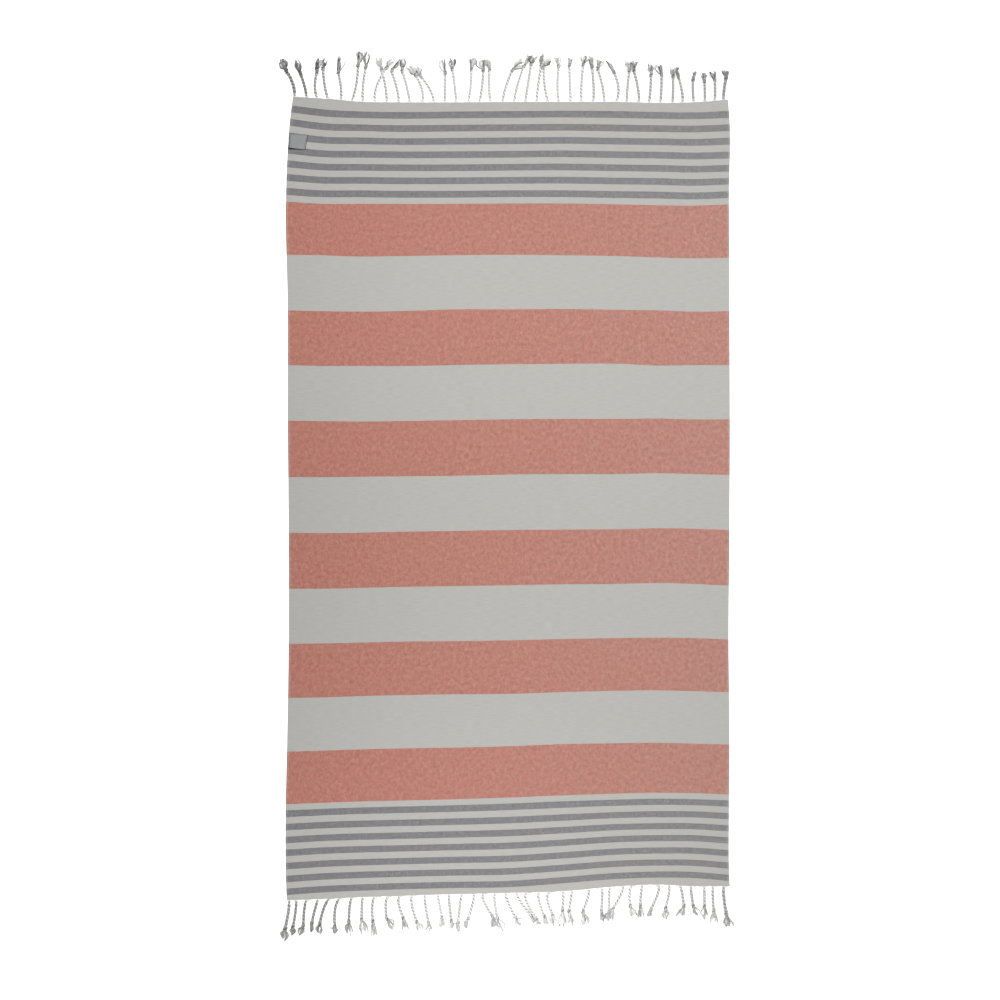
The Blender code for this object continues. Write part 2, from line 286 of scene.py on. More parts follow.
def undersideHeight(x, y):
    # mm over the floor: raised cosines across the creases, and plane waves lifted to stay at
    # or over 0
    height = np.zeros_like(x)
    for fromX, fromY, toX, toY, rise, spread in cloth["creases"]:
        run = np.array([toX - fromX, toY - fromY], float)
        length = np.hypot(*run)
        ahead = ((x - fromX) * run[0] + (y - fromY) * run[1]) / length
        aside = ((x - fromX) * run[1] - (y - fromY) * run[0]) / length
        past = ahead - np.clip(ahead, 0, length)
        height += rise * (1 + np.cos(math.pi * np.clip(np.hypot(past, aside) / spread, 0, 1))) / 2
    for number, (wavelength, turn, rise) in enumerate(cloth["waves"]):
        way = x * math.cos(math.radians(turn)) + y * math.sin(math.radians(turn))
        height += rise * (1 + np.sin(math.tau * way / wavelength + number * cloth["wavePhase"])) / 2
    return height


# materials

weave = {
    "warpPitch": 0.9, "weftPitch": 0.75,  # nearly twice the real spacing, so that it can show
    "warpWidth": (0.42, 0.65),  # of the pitch at the left and the right selvedge
    # a group of close warp threads inside each selvedge: its middle, half its width, the share
    # of that over which it ends, and how much more of the pitch they fill
    "edgeCord": 3.4, "edgeCordHalf": 1.5, "edgeCordSoft": 0.3, "edgeCordFill": 0.42,
    # noise for each mm: how the threads wander, patches of thick and thin yarn, and streaks of
    # dye across and down; slubs have theirs along a thread and from thread to thread
    "wander": 0.07, "patch": 0.11, "streak": (0.3, 0.1, 0), "slub": (0.05, 0.43),
    # how much a weft slub and a patch count beside a warp slub, and all of them in the warp's width
    "weftPull": -0.9, "patchPull": 1.3, "unevenWidth": 0.18,
    # how far a thread falls off to its sides (4 is to the ground), and the weft under the warp
    "warpFall": 4, "weftFall": 3.4, "weftSink": 0.75,
    "natural": "#b4b3ae", "coral": "#b46552", "grey": "#6a696e",
    "threadTone": (0.955, 1.045),  # dyed yarn is lighter and darker from thread to thread
    "cloudiness": 0.22, "greyShare": 0.5,  # dye took unevenly, and less so on the grey
    # painted shade: yarn lower than openHeight is painted darker, down to the gaps between threads
    "openHeight": 0.45, "gapShadeTone": (0.86, 1.03),  # yarn lower than this is dim, down to the gaps
    # first band's start from the top end, a band's width, from band to band, how many
    "greyTop": (20, 15, 29.5, 7), "coralBands": (225, 125, 245, 6), "greyFoot": (1588, 15, 29.5, 7),
}


def bandMask(tree, down, start, width, step, count):
    # 1 in each of count bands: (down - start) mod step < width, between the first and the last
    past = addNode(tree, "Math", {0: down, 1: start}, operation="SUBTRACT")
    phase = addNode(tree, "Math", {0: past, 1: step}, operation="FLOORED_MODULO")
    mask = addNode(tree, "Math", {0: phase, 1: width}, operation="LESS_THAN")
    for limit, side in ((0, "GREATER_THAN"), ((count - 1) * step + width, "LESS_THAN")):
        within = addNode(tree, "Math", {0: past, 1: limit}, operation=side)
        mask = addNode(tree, "Math", {0: mask, 1: within}, operation="MULTIPLY")
    return mask


def makeWeave():
    # Plain-woven cotton: natural warp over and under a weft that changes colour by stripes, so
    # a coloured stripe is flecked with pale warp. Matt, with a faint bloom of fibres.
    made, tree = newMaterial("plainWovenCotton")
    cut = addNode(tree, "UVMap", uv_map="cut")
    wander = addNode(tree, "TexNoise", {"Vector": cut, "Scale": weave["wander"], "Detail": 1}, out=1,
                     noise_dimensions="2D")

    # for warp and weft: the place on the cloth, the thread's number and the place across it,
    # -0.5 to 0.5
    threads = []
    for axis, pitch in enumerate((weave["warpPitch"], weave["weftPitch"])):
        place = addNode(tree, "SeparateXYZ", {0: cut}, out=axis)
        stray = addNode(tree, "SeparateColor", {0: wander}, out=axis)
        thread = addNode(tree, "Math", {0: place, 1: 1 / pitch, 2: stray}, operation="MULTIPLY_ADD")
        number = addNode(tree, "Math", {0: thread}, operation="FLOOR")
        across = addNode(tree, "Math", {0: thread}, operation="FRACT")
        across = addNode(tree, "Math", {0: across, 1: 0.5}, operation="SUBTRACT")
        threads.append((place, number, across))
    (x, warpNumber, acrossWarp), (y, weftNumber, acrossWeft) = threads
    crossing = addNode(tree, "Math", {0: warpNumber, 1: weftNumber}, operation="ADD")
    warpOver = addNode(tree, "Math", {0: crossing, 1: 2}, operation="FLOORED_MODULO")

    # yarn that is thick and thin, in patches and along single threads, changes how much warp shows
    patch = addNode(tree, "TexNoise", {"Vector": cut, "Scale": weave["patch"], "Detail": 2,
                                       "Roughness": 0.6}, noise_dimensions="2D")
    slubAlong, slubAcross = weave["slub"]
    slubs = []
    for first, second, scales in ((x, weftNumber, (slubAlong, slubAcross, 0)),
                                  (warpNumber, y, (slubAcross, slubAlong, 0))):
        place = addNode(tree, "CombineXYZ", {0: first, 1: second})
        place = addNode(tree, "VectorMath", {0: place, 1: scales}, operation="MULTIPLY")
        slubs.append(addNode(tree, "TexNoise", {"Vector": place, "Scale": 1, "Detail": 1},
                             noise_dimensions="2D"))
    weftSlub, warpSlub = slubs
    uneven = addNode(tree, "Math", {0: weftSlub, 1: weave["weftPull"], 2: warpSlub},
                     operation="MULTIPLY_ADD")
    uneven = addNode(tree, "Math", {0: patch, 1: weave["patchPull"], 2: uneven}, operation="MULTIPLY_ADD")
    # each noise is 0.5 on average
    average = (weave["weftPull"] + 1 + weave["patchPull"]) / 2
    uneven = addNode(tree, "Math", {0: uneven, 1: average}, operation="SUBTRACT")
    fromMiddle = addNode(tree, "Math", {0: x, 1: cloth["width"] / 2}, operation="SUBTRACT")
    fromMiddle = addNode(tree, "Math", {0: fromMiddle}, operation="ABSOLUTE")
    fromCord = addNode(tree, "Math", {0: fromMiddle, 1: cloth["width"] / 2 - weave["edgeCord"]},
                       operation="SUBTRACT")
    fromCord = addNode(tree, "Math", {0: fromCord}, operation="ABSOLUTE")
    half, soft = weave["edgeCordHalf"], weave["edgeCordSoft"]
    selvedge = addNode(tree, "MapRange", {0: fromCord, 1: half * (1 - soft), 2: half * (1 + soft),
                                          3: weave["edgeCordFill"], 4: 0})
    leftWidth, rightWidth = weave["warpWidth"]
    usual = addNode(tree, "MapRange", {0: x, 1: 0, 2: cloth["width"], 3: leftWidth, 4: rightWidth})
    width = addNode(tree, "Math", {0: uneven, 1: weave["unevenWidth"], 2: usual},
                    operation="MULTIPLY_ADD")
    width = addNode(tree, "Math", {0: width, 1: selvedge}, operation="ADD")

    # heights: a thread is 1 - fall a^2 across and a cosine along, where it passes over
    warpPlace = addNode(tree, "Math", {0: acrossWarp, 1: width}, operation="DIVIDE")
    weftOver = addNode(tree, "Math", {0: warpOver, 1: -weave["weftSink"], 2: 1}, operation="MULTIPLY_ADD")
    heights = []
    for across, along, fall, over in ((warpPlace, acrossWeft, weave["warpFall"], warpOver),
                                      (acrossWeft, acrossWarp, weave["weftFall"], weftOver)):
        curve = addNode(tree, "Math", {0: across, 1: across}, operation="MULTIPLY")
        curve = addNode(tree, "Math", {0: curve, 1: -fall, 2: 1}, operation="MULTIPLY_ADD")
        arch = addNode(tree, "Math", {0: along, 1: math.pi}, operation="MULTIPLY")
        arch = addNode(tree, "Math", {0: arch}, operation="COSINE")
        arch = addNode(tree, "Math", {0: arch, 1: over}, operation="MULTIPLY")
        heights.append(addNode(tree, "Math", {0: curve, 1: arch}, operation="MULTIPLY"))
    warpHeight, weftHeight = heights
    height = addNode(tree, "Math", {0: warpHeight, 1: weftHeight}, operation="MAXIMUM")
    warpShows = addNode(tree, "Math", {0: warpHeight, 1: weftHeight}, operation="GREATER_THAN")

    # stripes change from one whole weft thread to the next
    down = addNode(tree, "Math", {0: weftNumber, 1: weave["weftPitch"], 2: weave["weftPitch"] / 2},
                   operation="MULTIPLY_ADD")
    greyTop = bandMask(tree, down, *weave["greyTop"])
    greyFoot = bandMask(tree, down, *weave["greyFoot"])
    greys = addNode(tree, "Math", {0: greyTop, 1: greyFoot}, operation="ADD")
    corals = bandMask(tree, down, *weave["coralBands"])
    # the stripes' weft over natural yarn, and the natural warp over both
    color = toLinear(weave["natural"])
    for mask, paint in ((greys, "grey"), (corals, "coral"), (warpShows, "natural")):
        color = addNode(tree, "Mix", {0: mask, 6: color, 7: toLinear(weave[paint])}, out=2,
                        data_type="RGBA")
    # the tone by thread, by short streaks down the warp and wider clouds in the dyed yarn, and by
    # depth, which is painted shade in the gaps between threads. Noise keeps to its middle half
    darkThread, lightThread = weave["threadTone"]
    shade = addNode(tree, "MapRange", {0: weftSlub, 1: 0.25, 2: 0.75, 3: darkThread, 4: lightThread})
    streak = addNode(tree, "VectorMath", {0: cut, 1: weave["streak"]}, operation="MULTIPLY")
    streak = addNode(tree, "TexNoise", {"Vector": streak, "Scale": 1, "Detail": 2, "Roughness": 0.7},
                     noise_dimensions="2D")
    dyed = addNode(tree, "Math", {0: greys, 1: weave["greyShare"], 2: corals}, operation="MULTIPLY_ADD")
    cloudy = addNode(tree, "Math", {0: streak, 1: patch}, operation="ADD")
    cloudy = addNode(tree, "MapRange", {0: cloudy, 1: 0.5, 2: 1.5, 3: -weave["cloudiness"],
                                        4: weave["cloudiness"]})
    cloudy = addNode(tree, "Math", {0: cloudy, 1: dyed, 2: 1}, operation="MULTIPLY_ADD")
    shade = addNode(tree, "Math", {0: shade, 1: cloudy}, operation="MULTIPLY")
    gapShadeTone, openTone = weave["gapShadeTone"]
    depth = addNode(tree, "MapRange", {0: height, 1: 0, 2: weave["openHeight"], 3: gapShadeTone, 4: openTone})
    shade = addNode(tree, "Math", {0: shade, 1: depth}, operation="MULTIPLY")
    color = addNode(tree, "VectorMath", {0: color, "Scale": shade}, operation="SCALE")

    bump = addNode(tree, "Bump", {"Strength": 0.5, "Distance": 0.25 * mm, "Height": height})
    skin = addNode(tree, "BsdfPrincipled", {"Base Color": color, "Roughness": 0.92, "Normal": bump,
                                            "Specular IOR Level": 0.25, "Sheen Weight": 0.08,
                                            "Sheen Roughness": 0.6})
    addNode(tree, "OutputMaterial", {"Surface": skin})
    return made


yarn = {
    # groove is a painted shade: the yarn's colour is darker down in the grooves between its threads
    "color": "#fefdfb", "groove": "#f4f3f0",
    # a cord's ply and a loose thread: threads twisted in it, mm along it for one turn of them,
    # the depth of their grooves, and its crease, a painted shade: how much darker it is painted where
    # it turns from its open side, as shade falls in the crevices, by the cosine of the turn: from, to
    # and the tone there. Loose threads lie more open than the coils of a cord, so theirs is lighter
    "ply": (4, 6.5, 0.5, (0.05, 0.5, 0.22)), "loose": (2, 3.2, 0.25, (-0.35, 0.5, 0.6)),
    "fuzz": 900, "fuzzDepth": 0.6,  # fibres to a metre, and their height beside the grooves'
    "mottle": 120, "mottleTone": (0.95, 1.03),  # clouds to a metre, and their tones
}


def makeYarn(name, threads, pitch, depth, crease):
    # Natural cotton yarn: off-white, matt and hairy, its threads wound in a slant round it. The
    # tube's UV map holds a whole number for the tube plus the turns round it, from side to top
    # to side, and millimetres along it, and its tone attribute is painted shade: darker towards the
    # corners, in the knot and low in the pile, and darker at random. A tube is painted darker where it
    # turns in to its neighbours, as shade in the crevices, and darker in the grooves between its threads.
    made, tree = newMaterial(name)
    tube = addNode(tree, "UVMap", uv_map="yarn")
    around = addNode(tree, "SeparateXYZ", {0: tube}, out=0)
    along = addNode(tree, "SeparateXYZ", {0: tube}, out=1)
    slant = addNode(tree, "Math", {0: along, 1: threads / pitch}, operation="MULTIPLY")
    slant = addNode(tree, "Math", {0: around, 1: threads, 2: slant}, operation="MULTIPLY_ADD")
    wave = addNode(tree, "Math", {0: slant, 1: math.tau}, operation="MULTIPLY")
    wave = addNode(tree, "Math", {0: wave}, operation="COSINE")
    wave = addNode(tree, "Math", {0: wave, 1: 0.5, 2: 0.5}, operation="MULTIPLY_ADD")
    height = addNode(tree, "Math", {0: wave}, operation="SQRT")
    place = addNode(tree, "TexCoord", out=3)
    fuzz = addNode(tree, "TexNoise", {"Vector": place, "Scale": yarn["fuzz"], "Detail": 3})
    rough = addNode(tree, "Math", {0: fuzz, 1: yarn["fuzzDepth"], 2: height}, operation="MULTIPLY_ADD")
    mottle = addNode(tree, "TexNoise", {"Vector": place, "Scale": yarn["mottle"], "Detail": 2})
    darkTone, lightTone = yarn["mottleTone"]
    tone = addNode(tree, "MapRange", {0: mottle, 1: 0.3, 2: 0.7, 3: darkTone, 4: lightTone})
    # the tone attribute holds painted shade: darker towards the corners, in the knot and low in the pile,
    # and darker at random
    own = addNode(tree, "Attribute", out=2, attribute_name="tone")
    facing = addNode(tree, "Math", {0: around, 1: 0.25}, operation="SUBTRACT")
    facing = addNode(tree, "Math", {0: facing, 1: math.tau}, operation="MULTIPLY")
    facing = addNode(tree, "Math", {0: facing}, operation="COSINE")
    closed, opened, creviceShadeTone = crease
    # painted shade: the tube is darker where it turns in to its neighbours, in the crevices between plies
    # and between loose threads
    creviceShade = addNode(tree, "MapRange", {0: facing, 1: closed, 2: opened, 3: creviceShadeTone, 4: 1},
                      interpolation_type="SMOOTHSTEP")
    tone = addNode(tree, "Math", {0: tone, 1: own}, operation="MULTIPLY")
    tone = addNode(tree, "Math", {0: tone, 1: creviceShade}, operation="MULTIPLY")
    # painted shade: the colour darkens down in the grooves between the threads
    color = addNode(tree, "Mix", {0: height, 6: toLinear(yarn["groove"]), 7: toLinear(yarn["color"])},
                    out=2, data_type="RGBA")
    color = addNode(tree, "VectorMath", {0: color, "Scale": tone}, operation="SCALE")
    bump = addNode(tree, "Bump", {"Strength": 0.8, "Distance": depth * mm, "Height": rough})
    skin = addNode(tree, "BsdfPrincipled", {"Base Color": color, "Roughness": 0.9, "Normal": bump,
                                            "Specular IOR Level": 0.25, "Sheen Weight": 0.1,
                                            "Sheen Roughness": 0.6})
    addNode(tree, "OutputMaterial", {"Surface": skin})
    return made


tape = {
    # waves for each mm, how far they wander, and the way across them; clouds for each mm
    "rib": (0.62, 0.3, "Y"), "thread": (0.4, 0.4, "X"), "cloud": 0.12,
    # the lighter and the darker colour, and the roughness
    # the second colour pair is painted shadow: a near-black sheet under the label's loose edges
    "face": ("#939495", "#818283", 0.62), "shadowSheet": ("#161617", "#0b0b0c", 0.9),
    "sewing": ("#646668", "#56585a", 0.6),
}


def makeTape(name, lightHex, darkHex, roughness):
    # Damask-woven polyester tape: fine ribs across it and a dull silky face
    made, tree = newMaterial(name)
    place = addNode(tree, "UVMap", uv_map="tape")
    rib, thread = (addNode(tree, "TexWave", {"Vector": place, "Scale": scale, "Distortion": wander,
                                             "Detail": 1}, out=1, bands_direction=way)
                   for scale, wander, way in (tape["rib"], tape["thread"]))
    height = addNode(tree, "Math", {0: rib, 1: 0.6, 2: thread}, operation="MULTIPLY_ADD")
    cloud = addNode(tree, "TexNoise", {"Vector": place, "Scale": tape["cloud"], "Detail": 3})
    mix = addNode(tree, "Math", {0: height, 1: 0.25, 2: cloud}, operation="MULTIPLY_ADD")
    color = addNode(tree, "Mix", {0: mix, 6: toLinear(darkHex), 7: toLinear(lightHex)}, out=2,
                    data_type="RGBA")
    bump = addNode(tree, "Bump", {"Strength": 0.4, "Distance": 0.1 * mm, "Height": height})
    skin = addNode(tree, "BsdfPrincipled", {"Base Color": color, "Roughness": roughness, "Normal": bump,
                                            "Specular IOR Level": 0.35})
    addNode(tree, "OutputMaterial", {"Surface": skin})
    return made


# cloth

def makeCloth():
    # the straight cut on an even grid with a narrow rim, each point laid down where it lies; the
    # UV map holds millimetres across and from the top end
    lines = [np.linspace(0, size, round(size / cloth["cell"]) + 1)
             for size in (cloth["width"], cloth["length"])]
    lines = [np.sort(np.append(line, [cloth["rim"], line[-1] - cloth["rim"]])) for line in lines]
    columns, rows = len(lines[0]), len(lines[1])
    across = np.tile(lines[0] - cloth["width"] / 2, rows)
    fromTop = np.repeat(lines[1][::-1], columns)
    flat = layDown(across, fromTop)
    height = undersideHeight(flat[:, 0], flat[:, 1])
    points = np.column_stack([flat, height]) * mm
    cells = gridFaces(rows, columns)
    cut = np.column_stack([across + cloth["width"] / 2, fromTop])
    made = addPiece("wovenCloth", points, [cells], [cut[cells]], [makeWeave()], "cut")
    thicken(made, cloth["thickness"])
    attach(made, "root")
    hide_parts("cloth")
    print("cloth:", columns, "x", rows, "points")
    return made


def thicken(piece, thickness):
    # gives an open sheet its thickness upwards
    solidify = piece.modifiers.new("thickness", "SOLIDIFY")
    solidify.thickness = thickness * mm
    solidify.offset = 1


# tassels: a two-ply cord with a knot and a tuft, for each group of warp threads

tassel = {
    # plyTurn is the mm of cord for one turn of its plies, half as much again as the real 9.5 so
    # that it can show, and plyApart a ply's distance from the cord's middle as a share of its
    # radius: packed cotton presses together
    "cordRadius": 3.95, "plyRadius": 2.3, "plyTurn": 15, "turnSpread": (0.95, 1.1), "plyApart": 0.72,
    "rootGrow": 9, "rootSpread": 1.5, "rootRadius": 0.5,
    "knotHalf": 4.2, "knotTurns": 1.75, "knotTilt": 0.35, "knotEdge": 1.6, "knotTight": 0.3,
    "cordStations": 84, "plySides": 6, "knotShare": 0.34,  # of the stations
    # warp ends that run from the cloth's edge into each cord: how far they stray at the edge and
    # in the cord, their heights in it, and the power by which they draw together
    "fanThreads": 10, "fanRadius": 0.3, "fanReach": 8, "fanStations": 6,
    "fanStray": (0.7, 1.2), "fanHeights": (0.8, 3.5), "fanPower": 1.2,
    # the tuft's loose threads, which lie in locks, their length as a share of the tuft's and of
    # the lock's, and how much thinner a thread ends
    "threads": 46, "threadRadius": 0.62, "threadStations": 9, "threadSides": 3, "locks": 6,
    "lockLengths": (0.65, 1.08), "threadLengths": (0.86, 1.03), "threadTaper": 0.45,
    # how far a lock and then each of its threads go to the side at the tip, at the knot and half
    # way, and a lock's waves: their size, how many there are, and how its threads differ in phase
    "tipStray": (1.2, 0.9), "knotStray": (2.2, 0.9), "curl": (1.6, 0.5), "leastFork": 3,
    "waveSizes": (0.4, 1.4), "waves": 1.6, "phaseStray": 0.4,
    # the height of the threads at the knot, in cord radii, its spread, and the layers of the pile
    "knotHeight": 1.6, "knotHeightStray": 2.4, "layers": (1.2, 3.7), "layerStray": 0.6,
    "spreadPower": 0.75, "closing": 0.3, "leafClosing": 0.85,
    "strayThreads": (-0.7, -0.2, 0.2, 0.7), "strayLayer": 4,  # four threads make a stray lock
    "cornerSize": 1.12, "toneSpread": 0.05,
    # painted shade tones: in the knot and over knotDim of a thread from it, low in the pile below the
    # layer clearFrom + clearOver, and of the shares of the threads and locks painted darker at
    # random as shade between threads; deepest is the darkest tone the painted shade reaches
    "knotShadeTone": 0.76, "knotDim": 0.2, "lowThreadShadeTone": 0.6, "clearFrom": 0.7, "clearOver": 2.2,
    "shadedThreads": 0.12, "shadedThreadTone": 0.3, "shadedLocks": 0.33, "shadedLockTone": 0.45, "deepest": 0.15,
}
# for each tassel, from the left: its root's place across, its knot's reach past the cloth's end,
# the tuft's length, the knot's shift to the right of the root, the cord's bow to the right, the
# tuft's lean to the right, and how wide the tuft parts. early sets how near the root the bow
# is, and a stray is a lock of a numbered tassel that goes its own way: to the right and outward
# from the knot. leaves are the tassels whose tufts close again towards the tip. The yarn is
# painted darker towards the corners, as painted shade where less light falls: its tone is given at
# a few tassels, and shade is how strongly the painted shade of the knot, the low pile and the
# shaded threads and locks counts
topFringe = {
    "early": 0.85, "shade": 1.3, "strays": ((5, 15, 29), (13, -6, 30), (20, 4, 34)),
    "leaves": (1, 2),
    "across": (-498, -469, -444, -420, -390, -365, -339, -311, -285, -257, -232, -204, -177, -151, -125,
               -97, -72, -46, -18, 8, 34, 60, 86, 111, 138, 163, 190, 215, 242, 267, 295, 318, 344, 372,
               395, 421, 446, 469, 489),
    "knot": (58, 54, 58, 67, 61, 80, 79, 77, 75, 71, 71, 60, 60, 65, 76, 75, 72, 73, 72, 80, 85, 82, 80,
             81, 82, 84, 78, 75, 67, 72, 71, 63, 63, 60, 60, 52, 46, 48, 50),
    "tuft": (34, 35, 31, 25, 39, 33, 35, 28, 28, 30, 30, 29, 24, 37, 24, 28, 28, 27, 33, 31, 23, 27, 24,
             22, 19, 23, 24, 24, 30, 22, 23, 29, 30, 22, 23, 20, 21, 20, 18),
    "sway": (-17, -14, -1, -11, -6, 14, 7, 25, -12, -17, -17, -14, -30, 1, -9, 7, 9, -2, 22, 22, 13, 10,
             -10, 0, -3, 4, -3, -15, -5, 6, -12, 5, 3, 1, -10, -2, -1, 0, 6),
    "bow": (6, 2, -5, -2, 3, 4, -3, -8, 3, 3, 2, 7, 6, 0, 1, 2, 2, -2, -3, -2, 0, -1, -3, -3, 0, -2, 2,
            3, 8, -1, 3, 1, 1, 1, 3, -1, 1, 1, -1),
    "lean": (-14, -9, 3, 2, 3, 4, -1, 18, -5, 20, -1, -19, -9, -8, 0, 5, -3, -9, 26, 17, 8, 3, 18, -5,
             2, 4, -2, 8, -13, -6, 1, -2, -10, -1, -2, 6, 0, -6, 0),
    "fork": (17, 14, 10, 10, 5, 14, 10, 10, 14, 7, 10, 10, 12, 14, 16, 13, 19, 12, 16, 14, 14, 8, 7, 10,
             12, 19, 10, 14, 12, 16, 16, 9, 14, 10, 10, 7, 10, 14, 12),
    "toneNumbers": (1, 2, 3, 6, 14, 25, 30, 36, 38, 39),
    "tone": (0.4, 0.37, 0.64, 0.84, 0.96, 1, 0.82, 0.68, 0.63, 0.5),
}
bottomFringe = {
    "early": 0.55, "shade": 0.55, "strays": ((6, -9, 6), (27, 20, 11), (37, 8, 26)),
    "leaves": (1, 2, 3, 5, 6),
    "across": (-497, -480, -454, -429, -402, -376, -352, -327, -299, -269, -243, -215, -188, -160, -134,
               -105, -80, -54, -29, -4, 21, 46, 71, 100, 122, 144, 179, 211, 229, 257, 282, 304, 335,
               361, 387, 412, 442, 463, 488),
    "knot": (64, 60, 61, 53, 57, 64, 55, 49, 56, 50, 50, 60, 64, 53, 59, 65, 56, 51, 56, 56, 52, 59, 55,
             52, 42, 46, 50, 55, 54, 53, 46, 47, 56, 53, 46, 45, 46, 55, 61),
    "tuft": (30, 21, 22, 22, 26, 17, 31, 39, 32, 31, 26, 24, 21, 25, 19, 21, 22, 28, 33, 24, 21, 15, 21,
             25, 41, 39, 33, 25, 24, 24, 29, 29, 19, 26, 28, 24, 28, 27, 33),
    "sway": (-7, -6, -9, -15, -24, -16, -8, -4, -7, -6, 6, 8, 8, 10, 5, -9, -11, 18, 4, 20, 30, 17, 10,
             0, -1, -8, -12, -2, -2, -23, -8, -7, -14, -7, 9, 5, 0, 0, 3),
    "bow": (3, 2, -3, -1, -5, -8, -3, -2, -5, -5, -6, -5, -2, 0, -1, -1, 3, -7, -3, -4, -5, -10, -5,
            -11, 2, 0, 4, 1, -1, 4, -5, -2, 6, 3, 1, -1, 0, -2, -3),
    "lean": (-3, -4, -10, -1, -3, -1, -1, 5, 3, 19, 4, 10, -1, -1, 4, 1, -8, 5, 12, 15, 10, 7, 8, 2, 3,
             7, 10, 7, -4, -5, 12, 4, -3, -1, -10, 10, 0, 1, 5),
    "fork": (14, 10, 9, 6, 10, 10, 14, 17, 14, 12, 14, 17, 14, 12, 14, 9, 10, 14, 12, 10, 12, 12, 14,
             17, 16, 12, 17, 17, 16, 14, 16, 14, 14, 14, 17, 14, 10, 17, 19),
    "toneNumbers": (1, 2, 5, 7, 8, 12, 20, 27, 34, 36, 38, 39),
    "tone": (0.54, 0.46, 0.46, 0.56, 0.73, 0.92, 1, 0.92, 0.88, 0.74, 0.76, 0.58),
}


def tasselPlan(fringe, outward):
    # for every tassel of one end: root and knot on the floor, the tuft's direction and length,
    # the cord's bow, and its size
    across, reach, tuft, sway, bow, lean, fork = (
        np.array(fringe[key], float) for key in ("across", "knot", "tuft", "sway", "bow", "lean", "fork"))
    # painted shade: each tassel's tone, darker towards the corners where less light falls
    tone = np.interp(np.arange(len(across)) + 1, fringe["toneNumbers"], fringe["tone"])
    tone = np.minimum(tone * (1 + dice.normal(0, tassel["toneSpread"], len(across))), 1)
    endFromTop = 0 if outward > 0 else cloth["length"]
    root = layDown(across, np.full(len(across), float(endFromTop)))
    size = np.ones(len(across))
    size[[0, -1]] = tassel["cornerSize"]
    isLeaf = np.isin(np.arange(len(across)) + 1, fringe["leaves"])
    # a bow is given as it is half way along
    middle = 0.5 ** fringe["early"]
    # each tassel takes the warp as far as half way to its neighbours
    between = np.diff(across, prepend=2 * across[0] - across[1], append=2 * across[-1] - across[-2])
    edge = cloth["width"] / 2
    taken = np.column_stack([np.maximum(across - between[:-1] / 2, -edge),
                             np.minimum(across + between[1:] / 2, edge)])
    return {
        "root": root, "reach": reach, "sway": sway, "bow": bow / (4 * middle * (1 - middle)),
        "early": fringe["early"], "strays": fringe["strays"], "shade": fringe["shade"],
        "closing": np.where(isLeaf, tassel["leafClosing"], tassel["closing"]),
        "taken": taken, "endFromTop": endFromTop,
        "knot": root + np.column_stack([sway, outward * reach]),
        "tuftWay": unit(np.column_stack([lean, outward * np.sqrt(tuft**2 - lean**2)])),
        "tuft": tuft, "fork": fork, "tone": tone, "size": size, "outward": outward,
    }


def cordLine(plan, along):
    # x, y of the cords' axes at distances from the root: from root to knot, way from 0 to 1,
    # with a bow of 4 e (1 - e), e = way^early, and on along the tuft
    length = np.hypot(plan["sway"], plan["reach"])[:, None]
    way = np.minimum(along / length, 1)
    early = np.clip(way, 0, 1) ** plan["early"]
    bend = plan["sway"][:, None] * way + 4 * plan["bow"][:, None] * early * (1 - early)
    reach = plan["outward"] * plan["reach"][:, None] * way
    past = np.maximum(along - length, 0)[..., None] * plan["tuftWay"][:, None]
    return plan["root"][:, None] + np.stack([bend, reach], -1) + past


